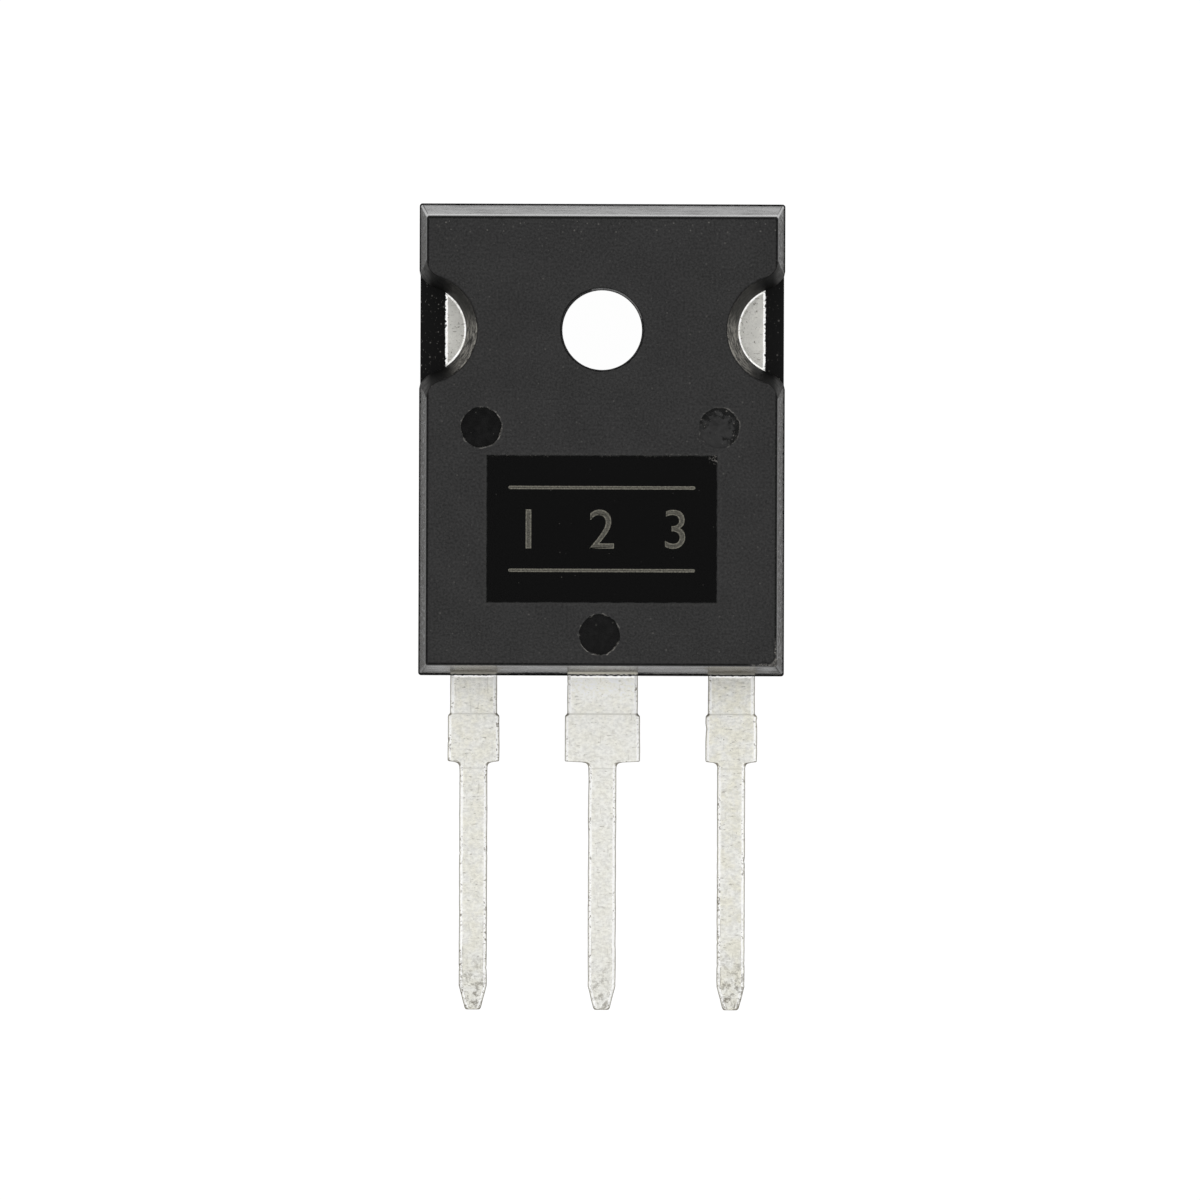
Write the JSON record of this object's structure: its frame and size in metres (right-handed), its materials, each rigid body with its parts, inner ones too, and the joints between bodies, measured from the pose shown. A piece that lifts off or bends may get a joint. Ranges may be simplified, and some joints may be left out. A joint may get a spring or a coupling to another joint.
{
  "type": "power transistor",
  "caption": "Flat black moulded power transistor with a screw hole, side notches, an exposed metal back and straight tinned leads.",
  "frame": {"origin": "axis of the mounting hole at the metal back", "axes": "+X to the right and +Y towards the end with the hole, seen from the front, +Z out of the front face"},
  "size_m": [0.0154, 0.0342, 0.005],
  "materials": {
    "epoxy": "fine matte moulded epoxy",
    "tinned_copper": "matte tin plating on copper",
    "silicon": "polished silicon with a grey metal top",
    "solder": "dull solder",
    "bond_wire": "satin"
  },
  "bodies": {
    "root": {"mold_body": "epoxy", "drain_frame": "tinned_copper", "gate_lead": "tinned_copper", "source_lead": "tinned_copper", "silicon_die": "silicon", "die_solder": "solder", "gate_wire": "bond_wire", "source_wire_1": "bond_wire", "source_wire_2": "bond_wire", "source_wire_3": "bond_wire"}
  },
  "joints": []
}
